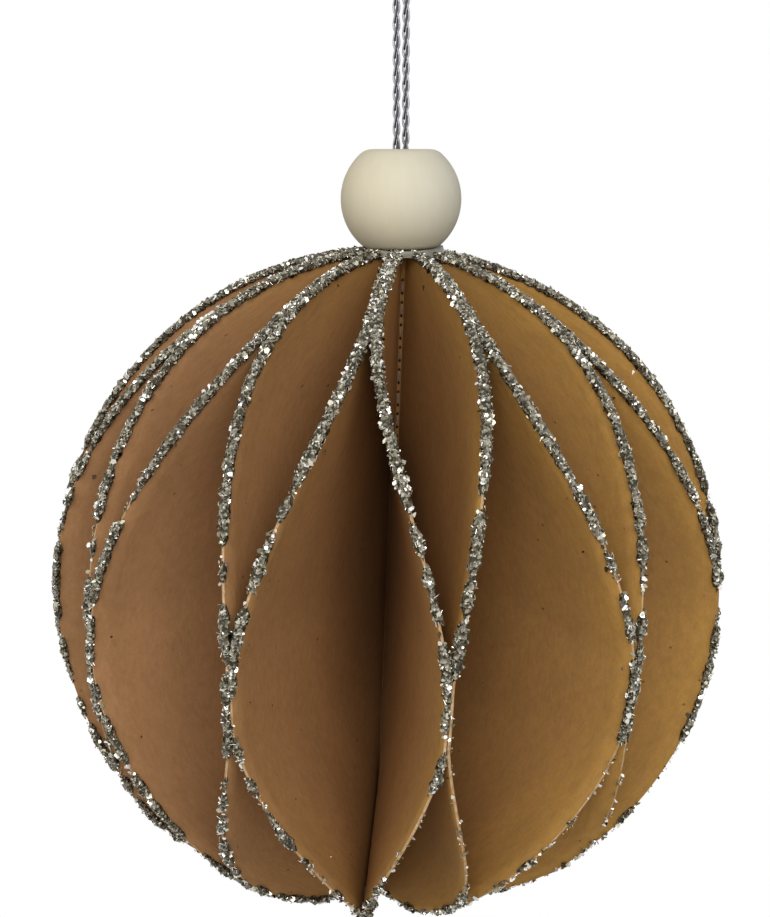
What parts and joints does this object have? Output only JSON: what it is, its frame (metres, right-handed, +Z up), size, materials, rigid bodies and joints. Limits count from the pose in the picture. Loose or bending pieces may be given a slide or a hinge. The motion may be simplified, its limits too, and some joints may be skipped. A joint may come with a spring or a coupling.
{
  "type": "paper ball ornament",
  "caption": "Hanging ball of folded brown card leaves glued rim to rim into open cells, with glitter on the rims, a round wooden bead on top and a cord loop.",
  "frame": {"origin": "on the axis of the hook or pin that the cord's loop hangs on, at the middle of the loop's inside arc", "axes": "+Z up along the hanging cord, the ornament's front towards -Y, +X to the right of the front"},
  "size_m": [0.081, 0.0812, 0.1433],
  "materials": {
    "brown_card": "matte",
    "glitter": "gloss",
    "clear_glue": "satin",
    "sewing_thread": "matte",
    "bare_wood": "matte",
    "metallic_cord": "satin"
  },
  "bodies": {
    "root": {"paper_disc_01": "brown_card", "paper_disc_02": "brown_card", "paper_disc_03": "brown_card", "paper_disc_04": "brown_card", "paper_disc_05": "brown_card", "paper_disc_06": "brown_card", "paper_disc_07": "brown_card", "paper_disc_08": "brown_card", "paper_disc_09": "brown_card", "paper_disc_10": "brown_card", "paper_disc_11": "brown_card", "paper_disc_12": "brown_card", "glitter_edge_01": "glitter", "glitter_edge_02": "glitter", "glitter_edge_03": "glitter", "glitter_edge_04": "glitter", "glitter_edge_05": "glitter", "glitter_edge_06": "glitter", "glitter_edge_07": "glitter", "glitter_edge_08": "glitter", "glitter_edge_09": "glitter", "glitter_edge_10": "glitter", "glitter_edge_11": "glitter", "glitter_edge_12": "glitter", "glue_dots": "clear_glue", "seam_thread": "sewing_thread", "wood_bead": "bare_wood", "bead_glue": "clear_glue", "hanging_cord": "metallic_cord"}
  },
  "joints": []
}
